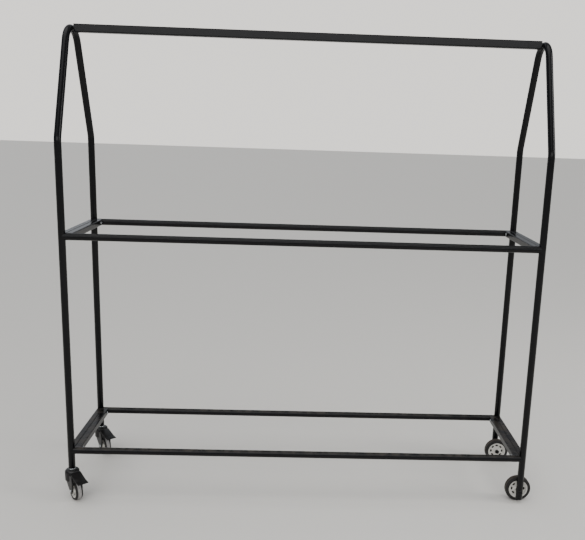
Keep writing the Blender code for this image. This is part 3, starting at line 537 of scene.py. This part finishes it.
def makeRail(side, level):
    node = "%s_%s_rail" % (level, side)
    low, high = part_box(node)
    radius = (high.z - low.z) / 2
    barLow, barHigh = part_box("left_%s_cross_tube" % level)
    notch = (barHigh.x - barLow.x) / 2 + gap
    reach = legRadius + gap
    height = (low.z + high.z) / 2
    length = hoopX["right"] - hoopX["left"]
    bm = bmesh.new()
    bmesh.ops.create_cone(bm, cap_ends=True, cap_tris=True, segments=longRail["sides"], radius1=radius,
                          radius2=radius, depth=length)
    bmesh.ops.rotate(bm, verts=bm.verts, cent=(0, 0, 0), matrix=Matrix.Rotation(pi / 2, 3, "Y"))
    for vert in bm.verts:
        inset = sqrt(reach * reach - vert.co.y * vert.co.y)
        if vert.co.y * sides[side] < 0:
            inset = max(inset, notch)
        vert.co.x += -inset if vert.co.x > 0 else inset
    bmesh.ops.translate(bm, verts=bm.verts, vec=(middle.x, legY[side], height))
    return toPiece(node, bm)


for levelName in ("lower", "middle"):
    for sideName in sides:
        makeRail(sideName, levelName)
print("long rails made")


# hanging rail: square tube with sharp cut ends, hollow at the ends
hangingRail = {"wall": 0.0015, "recess": 0.0035}


def makeHangingRail():
    low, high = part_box("top_rail")
    bm = squareTubeMesh(high.z - low.z, high.x - low.x)
    corners = 4 * squareTube["cornerSteps"]  # only the two end faces have so many
    caps = [face for face in bm.faces if abs(face.normal.z) > 0.9 and len(face.verts) > corners]
    bmesh.ops.inset_region(bm, faces=caps, thickness=hangingRail["wall"])
    for face in caps:
        outward = 1 if face.calc_center_median().z > 0 else -1
        made = bmesh.ops.extrude_face_region(bm, geom=[face])
        moved = [item for item in made["geom"] if isinstance(item, bmesh.types.BMVert)]
        bmesh.ops.translate(bm, verts=moved, vec=(0, 0, -outward * hangingRail["recess"]))
        bmesh.ops.delete(bm, geom=[face], context="FACES_ONLY")
    bmesh.ops.transform(bm, matrix=along((1, 0, 0), (low + high) / 2), verts=bm.verts)
    return toPiece("top_rail", bm)


makeHangingRail()
print("hanging rail made")


# screws and bolts: domed heads with a driving recess; sizes are the head's radius and height and the
# shank's radius
fastener = {"shelfScrew": (0.0040, 0.0024, 0.0020), "railBolt": (0.0055, 0.0030, 0.0030), "steps": 40,
            "crownSteps": 8, "rim": 0.0004, "crossWidth": 0.0011, "crossLength": 0.0046, "crossDepth": 0.0016,
            "taper": 0.45, "socket": 0.0020, "socketDepth": 0.0016}


def headProfile(radius, height, shank, length):
    rim = fastener["rim"]
    turns = [step * pi / 2 / fastener["crownSteps"] for step in range(fastener["crownSteps"] + 1)]
    crown = [(radius * sin(turn), rim + (height - rim) * cos(turn)) for turn in turns]
    return [*crown, (radius, 0.0), (shank, 0.0), (shank, -length), (0.0, -length)]


def crossCutter(height):
    arms = []
    for turn in (0, pi / 2):
        arm = bmesh.new()
        size = (fastener["crossLength"], fastener["crossWidth"], 2 * fastener["crossDepth"], 1.0)
        spot = Matrix.Translation((0, 0, height)) @ Matrix.Rotation(turn, 4, "Z") @ Matrix.Diagonal(size)
        bmesh.ops.create_cube(arm, size=1.0, matrix=spot)
        for vert in arm.verts:  # the recess narrows to its floor
            if vert.co.z < height:
                vert.co.x *= fastener["taper"]
                vert.co.y *= fastener["taper"]
        arms.append(arm)
    return combine(*arms, "UNION")


def socketCutter(height):
    bm = bmesh.new()
    radius = fastener["socket"]
    bmesh.ops.create_cone(bm, cap_ends=True, segments=6, radius1=radius, radius2=radius,
                          depth=2 * fastener["socketDepth"], matrix=Matrix.Translation((0, 0, height)))
    return bm


def makeFastener(node, axis, radius, height, shank, cutter):
    # axis points from the shank out through the head
    low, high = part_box(node)
    axis = Vector(axis)
    centre = (low + high) / 2
    reach = abs((high - low).dot(axis)) / 2
    length = 2 * reach - height
    bm = turnProfile(headProfile(radius, height, shank, length), fastener["steps"])
    if cutter:
        bm = combine(bm, cutter(height), "DIFFERENCE")
    base = centre + axis * (reach - height)
    bmesh.ops.transform(bm, matrix=along(axis, base), verts=bm.verts)
    return toPiece(node, bm)


for endName, endSign in ends.items():
    for levelName in ("lower", "middle"):
        for sideName in sides:
            node = "%s_%s_%s_shelf_screw" % (levelName, endName, sideName)
            makeFastener(node, (-endSign, 0, 0), *fastener["shelfScrew"], crossCutter)
    makeFastener(endName + "_top_rail_bolt", (endSign, 0, 0), *fastener["railBolt"], socketCutter)
print("screws and rail bolts made")


# wheels: a rubber ring on a light hub, the fixed pair larger than the caster pair
wheelSizes = {
    "right": {"width": 0.0240, "hubRadius": 0.0315, "holeCircle": 0.0205, "holeWidth": 0.0065,
              "holeLength": 0.0105, "tread": "dusty_tread", "band": 0.0075},
    "left": {"width": 0.0230, "hubRadius": 0.0245, "holeCircle": 0.0160, "holeWidth": 0.0045,
             "holeLength": 0.0080, "tread": "scoured_tread", "band": 0.0056},
}
wheelShape = {
    "steps": 96, "shoulder": 0.0045, "lip": 0.0010, "lipSlope": (0.0012, 0.0002), "lipEnd": 0.0022,
    "crown": 0.0004, "mouldLine": 0.00025, "treadFrom": 0.98, "rimWidth": 0.0035, "rimInset": 0.0015,
    "web": 0.0045, "boss": 0.0100, "slope": 0.0015, "bore": 0.0063, "edge": 0.0004, "softEdge": 0.0005,
    "fillet": 0.0006, "holes": 8, "holeSides": 24, "holeFloor": 0.0020,
}


def makeWheel(end, side):
    name = "%s_%s" % (end, side)
    spin = joints[name + "_wheel_spin"]
    centre = Vector(spin["pos_m"])
    radius = centre.z
    size = wheelSizes[end]
    half = size["width"] / 2
    place = along(spin["axis"], centre)
    shoulder = wheelShape["shoulder"]
    inner = size["hubRadius"] + gap
    tread = radius - wheelShape["crown"]
    lipOut, lipDrop = wheelShape["lipSlope"]
    line = wheelShape["mouldLine"]
    upper = [(inner, half - wheelShape["lip"]), (inner + lipOut, half - lipDrop),
             (inner + wheelShape["lipEnd"], half),
             *arcPoints((tread - shoulder, half - shoulder), shoulder, pi / 2, 0.0, 8),
             (radius, size["band"]), (radius, line * 2), (radius - line, 0.0)]
    lower = [(r, -z) for r, z in reversed(upper[:-1])]
    bm = turnProfile(upper + lower, wheelShape["steps"], closed=True)
    for face in bm.faces:
        spot = face.calc_center_median()
        if hypot(spot.x, spot.y) > radius * wheelShape["treadFrom"] and abs(spot.z) < size["band"]:
            face.material_index = 1
    bmesh.ops.transform(bm, matrix=place, verts=bm.verts)
    toPiece(name + "_tyre", bm, extra=size["tread"])

    rimFace = half - wheelShape["rimInset"]
    rimOuter, rimInner = size["hubRadius"], size["hubRadius"] - wheelShape["rimWidth"]
    web, slope, boss, bore = (wheelShape[key] for key in ("web", "slope", "boss", "bore"))
    edge, softEdge, fillet = (wheelShape[key] for key in ("edge", "softEdge", "fillet"))
    upper = [(bore, half - edge), (bore + edge, half), (boss - softEdge, half), (boss, half - softEdge),
             (boss + slope - fillet / 2, web + fillet), (boss + slope + fillet, web),
             (rimInner - slope - fillet, web), (rimInner - slope + fillet / 2, web + fillet),
             (rimInner, rimFace - edge), (rimInner + softEdge, rimFace), (rimOuter - edge, rimFace),
             (rimOuter, rimFace - edge)]
    lower = [(r, -z) for r, z in reversed(upper)]
    bm = turnProfile(upper + lower, wheelShape["steps"], closed=True)
    holes = bmesh.new()
    shape = Matrix.Diagonal((size["holeWidth"], size["holeLength"], 2 * half, 1.0))
    for number in range(2 * wheelShape["holes"]):  # blind, from both faces
        made = bmesh.ops.create_cone(holes, cap_ends=True, segments=wheelShape["holeSides"], radius1=0.5,
                                     radius2=0.5, depth=1.0)["verts"]
        reach = half + wheelShape["holeFloor"] / 2
        shift = Matrix.Translation((size["holeCircle"], 0, reach if number < wheelShape["holes"] else -reach))
        turn = Matrix.Rotation(2 * pi * number / wheelShape["holes"], 4, "Z")
        bmesh.ops.transform(holes, matrix=turn @ shift @ shape, verts=made)
    bm = combine(bm, holes, "DIFFERENCE")
    for face in bm.faces:  # painted shade fills the holes
        spot = face.calc_center_median()
        if abs(spot.z) < web - fillet / 2 and boss + slope + edge < hypot(spot.x, spot.y) < rimInner - slope:
            face.material_index = 1
    bmesh.ops.transform(bm, matrix=place, verts=bm.verts)
    # the hub's hole walls carry the painted shade
    toPiece(name + "_hub", bm, extra="painted_hole_shade")


# axles, nuts and bushes, and the plug in the foot of each leg that has a fixed wheel
nuts = {"right": {"radius": 0.0075, "height": 0.0065}, "left": {"radius": 0.0064, "height": 0.0032},
        "edge": 0.0004}
axleSizes = {"radius": 0.0040, "boltHead": 0.0072, "casterHead": 0.0048, "headHeight": 0.0026,
             "endOut": 0.0012, "bushRadius": 0.0060, "flangeRadius": 0.0095, "flange": 0.0009,
             "flangeEdge": 0.0003}
legPlug = {"tubeWall": 0.0016, "lead": 0.0010, "flange": 0.0027, "rounding": 0.0014}


def makeNut(node, axis):
    # six sides with softened corners; axis points away from the wheel
    low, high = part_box(node)
    axis = Vector(axis)
    size = nuts[node.split("_")[0]]
    centre = (low + high) / 2
    bm = bmesh.new()
    bmesh.ops.create_cone(bm, cap_ends=True, segments=6, radius1=size["radius"], radius2=size["radius"],
                          depth=size["height"])
    roundOff(bm, bm.edges[:], nuts["edge"], 2)
    bmesh.ops.transform(bm, matrix=along(axis, centre), verts=bm.verts)
    return toPiece(node, bm)


def makeFixedDetails(side):
    # what holds a fixed wheel to its leg
    name = "right_" + side
    inward = -sides[side]
    makeFastener(name + "_axle_bolt", (0, -inward, 0), axleSizes["boltHead"], axleSizes["headHeight"],
                 axleSizes["radius"], None)
    makeNut(name + "_axle_nut", (0, inward, 0))
    low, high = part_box(name + "_bush")
    length = high.y - low.y
    bore, bush, widest = axleSizes["radius"] + gap, axleSizes["bushRadius"], axleSizes["flangeRadius"]
    flange, edge = axleSizes["flange"], axleSizes["flangeEdge"]
    profile = [(bore, length), (bush, length), (bush, flange), (widest - edge, flange),
               (widest, flange - edge), (widest, 0.0), (bore, 0.0)]
    bm = turnProfile(profile, steps=48, closed=True)
    base = (low + high) / 2 - Vector((0, inward * length / 2, 0))
    bmesh.ops.transform(bm, matrix=along((0, inward, 0), base), verts=bm.verts)
    toPiece(name + "_bush", bm)
    low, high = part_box(name + "_leg_plug")
    inside, outside = legRadius - legPlug["tubeWall"], (high.x - low.x) / 2
    lead, seat, rounding = legPlug["lead"], low.z + legPlug["flange"], legPlug["rounding"]
    profile = [(0.0, high.z), (inside - lead, high.z), (inside, high.z - lead), (inside, seat),
               (outside, seat),
               *arcPoints((outside - rounding, low.z + rounding), rounding, 0.0, -pi / 2, 5), (0.0, low.z)]
    bm = turnProfile(profile, steps=48)
    bmesh.ops.translate(bm, verts=bm.verts, vec=((low.x + high.x) / 2, (low.y + high.y) / 2, 0))
    toPiece(name + "_leg_plug", bm)


for sideName in sides:
    makeWheel("right", sideName)
    makeWheel("left", sideName)
    makeFixedDetails(sideName)
print("wheels made")


# swivel casters: dome and fork in one moulding, with a foot pedal that pulls a shoe on to the tyre
caster = {
    "domeRadius": 0.0230, "domeTop": 0.0950, "domeBottom": 0.0600, "domeShoulder": 0.0080,
    "domeFoot": 0.0009, "cheek": 0.0032, "cheekInner": 0.0143, "bossRadius": 0.0095,
    "cheekFront": (0.0140, 0.0240), "cavity": 0.0355, "pocket": 0.0078, "topPlate": 0.0105,
    "pivot": (0.0310, 0.0815), "ear": 0.0048, "earTurn": (-25, 125), "pinRadius": 0.0019, "stemHole": 0.0053,
    "edge": 0.0006, "washerTop": 0.0010, "washerFoot": 0.0006,
}


def tangentAngle(spot, centre, radius, sign):
    across = Vector((spot[0] - centre[0], spot[1] - centre[1]))
    return atan2(across.y, across.x) + sign * acos(radius / across.length)


def cylinderAcross(radius, halfLength, x, z, steps=48):
    bm = bmesh.new()
    bmesh.ops.create_cone(bm, cap_ends=True, segments=steps, radius1=radius, radius2=radius,
                          depth=2 * halfLength)
    bmesh.ops.transform(bm, matrix=along((0, 1, 0), (x, 0, z)), verts=bm.verts)
    return bm


def makeCaster(side):
    name = "left_" + side
    pivot = Vector(joints[name + "_caster_swivel"]["pos_m"])
    axle = Vector(joints[name + "_wheel_spin"]["pos_m"])
    rolling = Vector((axle.x - pivot.x, axle.y - pivot.y, 0))
    trail = rolling.length
    place = Matrix.Translation((pivot.x, pivot.y, 0)) @ Matrix.Rotation(atan2(rolling.y, rolling.x), 4, "Z")
    outer = caster["cheekInner"] + caster["cheek"]
    radius, top, bottom = caster["domeRadius"], caster["domeTop"], caster["domeBottom"]
    shoulder, sole, inner = caster["domeShoulder"], caster["domeFoot"], caster["stemHole"]
    crown = arcPoints((radius - shoulder, top - shoulder), shoulder, pi / 2, 0.0, 10)
    foot = arcPoints((radius - sole, bottom + sole), sole, 0.0, -pi / 2, 4)
    body = turnProfile([(inner, top), *crown, *foot, (inner, bottom)], steps=72, closed=True)
    back = (-sqrt(radius**2 - outer**2), bottom)
    hubSpot = (trail, axle.z)
    front = (trail + caster["cheekFront"][0], axle.z + caster["cheekFront"][1])
    start = tangentAngle(back, hubSpot, caster["bossRadius"], 1)
    end = tangentAngle(front, hubSpot, caster["bossRadius"], -1)
    boss = arcPoints(hubSpot, caster["bossRadius"], start, end + 2 * pi, 20)
    ear = arcPoints(caster["pivot"], caster["ear"], *map(radians, caster["earTurn"]), 12)
    cheekTop = top - shoulder - caster["cheek"]
    outline = [(back[0], cheekTop), back, *boss, front, *ear, (radius - caster["cheek"], cheekTop)]
    for sign in (-1, 1):
        cheek = loftedPlate(outline, caster["cheek"] / 2, caster["edge"])
        outwards = sign * (caster["cheekInner"] + caster["cheek"] / 2)
        bmesh.ops.translate(cheek, verts=cheek.verts, vec=(0, outwards, 0))
        body = combine(body, cheek, "UNION")
    cavity = cylinderAcross(caster["cavity"], caster["cheekInner"], trail, axle.z, 72)
    body = combine(body, cavity, "DIFFERENCE")
    pocket = bmesh.new()
    ceiling = top - caster["topPlate"]
    bmesh.ops.create_cone(pocket, cap_ends=True, segments=40, radius1=caster["pocket"],
                          radius2=caster["pocket"], depth=ceiling,
                          matrix=Matrix.Translation((0, 0, ceiling / 2)))
    body = combine(body, pocket, "DIFFERENCE")
    body = combine(body, cylinderAcross(axleSizes["radius"] + gap, 2 * outer, trail, axle.z), "DIFFERENCE")
    body = combine(body, cylinderAcross(caster["pinRadius"] + gap, 2 * outer, *caster["pivot"]), "DIFFERENCE")
    bmesh.ops.transform(body, matrix=place, verts=body.verts)
    toPiece(name + "_housing", body)
    makePedal(name, place)
    makeCasterMetal(name, place, trail, axle.z, outer)


# brake pedal: a sloping plate with a ribbed toe step
brakePedal = {
    "start": (0.0246, 0.0920), "shoulder": (0.0680, 0.0800), "tip": (0.0880, 0.0790), "plate": 0.0022,
    "halfWidth": 0.0170, "edge": 0.0005,
    "ribs": 5, "ribHeight": 0.0005, "ribWidth": 0.0012, "ribShort": 0.005, "ribEdge": 0.0002,
    "ribsFrom": 0.8, "ribsSpare": 0.6,  # both in rib spaces along the toe step
    "shoeEdge": 0.0004,
    "shoe": [(-0.0030, 0.0082), (0.0140, 0.0036), (0.0120, -0.0165), (0.0060, -0.0150), (-0.0036, -0.0030)],
}


def makePedal(name, place):
    pivot = caster["pivot"]
    tops = [brakePedal[key] for key in ("start", "shoulder", "tip")]
    under = [(x, z - brakePedal["plate"]) for x, z in reversed(tops)]
    body = loftedPlate(tops + under, brakePedal["halfWidth"], 0.0)
    roundOff(body, body.edges[:], brakePedal["edge"], 3)
    outline = [(x + pivot[0], z + pivot[1]) for x, z in brakePedal["shoe"]]
    shoe = loftedPlate(outline, caster["cheekInner"] - gap, brakePedal["shoeEdge"], 2)
    body = combine(body, shoe, "UNION")
    pins = cylinderAcross(caster["pinRadius"], caster["cheekInner"] + caster["cheek"], *pivot)
    body = combine(body, pins, "UNION")
    shoulder, tip = Vector(brakePedal["shoulder"]), Vector(brakePedal["tip"])
    for number in range(brakePedal["ribs"]):
        share = (number + brakePedal["ribsFrom"]) / (brakePedal["ribs"] + brakePedal["ribsSpare"])
        spot = shoulder.lerp(tip, share)
        rib = bmesh.new()
        length = 2 * brakePedal["halfWidth"] - brakePedal["ribShort"]
        size = Matrix.Diagonal((brakePedal["ribWidth"], length, 2 * brakePedal["ribHeight"], 1.0))
        bmesh.ops.create_cube(rib, size=1.0, matrix=Matrix.Translation((spot.x, 0, spot.y)) @ size)
        roundOff(rib, rib.edges[:], brakePedal["ribEdge"], 2)
        body = combine(body, rib, "UNION")
    bmesh.ops.transform(body, matrix=place, verts=body.verts)
    toPiece(name + "_brake_pedal", body)


def makeCasterMetal(name, place, trail, height, outer):
    # axle, nut, bush and the bright washer under the leg
    length = 2 * (outer + gap) + nuts["left"]["height"] + axleSizes["endOut"]
    profile = headProfile(axleSizes["casterHead"], axleSizes["headHeight"], axleSizes["radius"], length)
    bm = turnProfile(profile, fastener["steps"])
    bmesh.ops.transform(bm, matrix=place @ along((0, -1, 0), (trail, -outer - gap, height)), verts=bm.verts)
    toPiece(name + "_axle", bm)
    axis = place.to_3x3() @ Vector((0, 1, 0))
    makeNut(name + "_axle_nut", axis)
    reach = caster["cheekInner"] - gap
    bore, bush = axleSizes["radius"] + gap, axleSizes["bushRadius"]
    bm = turnProfile([(bore, reach), (bush, reach), (bush, -reach), (bore, -reach)], steps=40, closed=True)
    bmesh.ops.transform(bm, matrix=place @ along((0, 1, 0), (trail, 0, height)), verts=bm.verts)
    toPiece(name + "_bush", bm)
    low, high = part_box(name + "_stem_washer")
    outside, hole = (high.x - low.x) / 2, caster["stemHole"]
    above, below = caster["washerTop"], caster["washerFoot"]
    profile = [(hole, high.z), *arcPoints((outside - above, high.z - above), above, pi / 2, 0.0, 5),
               *arcPoints((outside - below, low.z + below), below, 0.0, -pi / 2, 3), (hole, low.z)]
    bm = turnProfile(profile, steps=56, closed=True)
    bmesh.ops.translate(bm, verts=bm.verts, vec=((low.x + high.x) / 2, (low.y + high.y) / 2, 0))
    toPiece(name + "_stem_washer", bm)


for sideName in sides:
    makeCaster(sideName)
print("casters made")


# floor, light and camera
studio = {
    "floor": "#dbd8d2", "floorSize": 60.0, "floorRoughness": 0.65,
    "backdrop": "#dfdcd7", "backdropStrength": 1.80,
    "sky": "#e4e8ee", "skyStrength": 0.34, "skyBehind": 0.90,
    "wallSide": (-0.45, 0.89, 0.0), "wallEdge": (0.55, 0.95),
    "aim": (0, 0, 0.6),
    "ceiling": (-0.35, -0.55, 2.6), "ceilingSpread": 70, "ceilingStrength": 1.9,
    "front": (0.0, -3.1, 2.05), "frontSize": (4.4, 1.0), "frontPower": 38.0,
    "side": (3.3, -0.7, 2.3), "sideSize": (1.0, 1.9), "sidePower": 42.0,
}


def makeFloor():
    bm = bmesh.new()
    bmesh.ops.create_grid(bm, x_segments=1, y_segments=1, size=studio["floorSize"] / 2)
    mesh = bpy.data.meshes.new("paleFloor")
    bm.to_mesh(mesh)
    bm.free()
    floor = bpy.data.objects.new("paleFloor", mesh)
    material, _, shader, _ = startMaterial("floor_plainMatt")
    shader.inputs["Base Color"].default_value = toLinear(studio["floor"])
    shader.inputs["Roughness"].default_value = studio["floorRoughness"]
    mesh.materials.append(material)
    bpy.context.scene.collection.objects.link(floor)


def makeLight():
    # the backdrop is brighter to look at than the light it throws, as a lit wall behind the rack would be
    world = bpy.data.worlds.new("softStudio")
    world.use_nodes = True
    tree = world.node_tree
    tree.nodes.clear()
    seen = addNode(tree, "ShaderNodeBackground", {"Color": toLinear(studio["backdrop"]),
                   "Strength": studio["backdropStrength"]})
    facing = addNode(tree, "ShaderNodeTexCoord")
    toWall = addNode(tree, "ShaderNodeVectorMath", {"operation": "DOT_PRODUCT", 1: studio["wallSide"]},
                     {0: facing.outputs["Generated"]})
    power = remap(tree, toWall.outputs["Value"], *studio["wallEdge"], studio["skyStrength"],
                  studio["skyBehind"])
    thrown = addNode(tree, "ShaderNodeBackground", {"Color": toLinear(studio["sky"])}, {"Strength": power})
    path = addNode(tree, "ShaderNodeLightPath")
    mixed = addNode(tree, "ShaderNodeMixShader", None, {0: path.outputs["Is Camera Ray"],
                    1: thrown.outputs["Background"], 2: seen.outputs["Background"]})
    addNode(tree, "ShaderNodeOutputWorld", None, {"Surface": mixed.outputs["Shader"]})
    bpy.context.scene.world = world
    ceiling = bpy.data.lights.new("ceilingLight", "SUN")
    ceiling.angle = radians(studio["ceilingSpread"])
    ceiling.energy = studio["ceilingStrength"]
    lamps = {"ceiling": ceiling}
    for name in ("front", "side"):
        lamps[name] = bpy.data.lights.new(name + "Softbox", "AREA")
        lamps[name].shape = "RECTANGLE"
        lamps[name].size, lamps[name].size_y = studio[name + "Size"]
        lamps[name].energy = studio[name + "Power"]
    for name, lamp in lamps.items():
        thing = bpy.data.objects.new(lamp.name, lamp)
        thing.location = Vector(studio[name])
        aim = Vector(studio["aim"]) - thing.location
        thing.rotation_mode = "QUATERNION"
        thing.rotation_quaternion = aim.to_track_quat("-Z", "Y")
        bpy.context.scene.collection.objects.link(thing)


# eye height 1.23 m, 2.3 m in front of the rack's middle, looking a little down
viewpoint = {"spot": (0.0067, -2.3044, 1.2265), "pitch": 0.2055, "roll": 0.0336, "yaw": 0.0324, "lens": 43.40,
             "sensor": 36.0, "shift": -0.0617}


def makeCamera():
    pitch, roll, yaw = (viewpoint[key] for key in ("pitch", "roll", "yaw"))
    ahead = Vector((sin(yaw) * cos(pitch), cos(yaw) * cos(pitch), -sin(pitch)))
    across = Vector((cos(yaw), -sin(yaw), 0))
    above = across.cross(ahead)
    tilted = cos(roll) * across + sin(roll) * above
    upright = cos(roll) * above - sin(roll) * across
    camera = bpy.data.cameras.new("viewpoint")
    camera.sensor_width = viewpoint["sensor"]
    camera.lens = viewpoint["lens"]
    camera.shift_x = viewpoint["shift"]
    thing = bpy.data.objects.new("viewpoint", camera)
    matrix = Matrix((tilted, upright, -ahead)).transposed().to_4x4()
    matrix.translation = middle + Vector(viewpoint["spot"])
    thing.matrix_world = matrix
    bpy.context.scene.collection.objects.link(thing)
    bpy.context.scene.camera = thing


makeFloor()
makeLight()
makeCamera()
print("floor, light and camera placed")
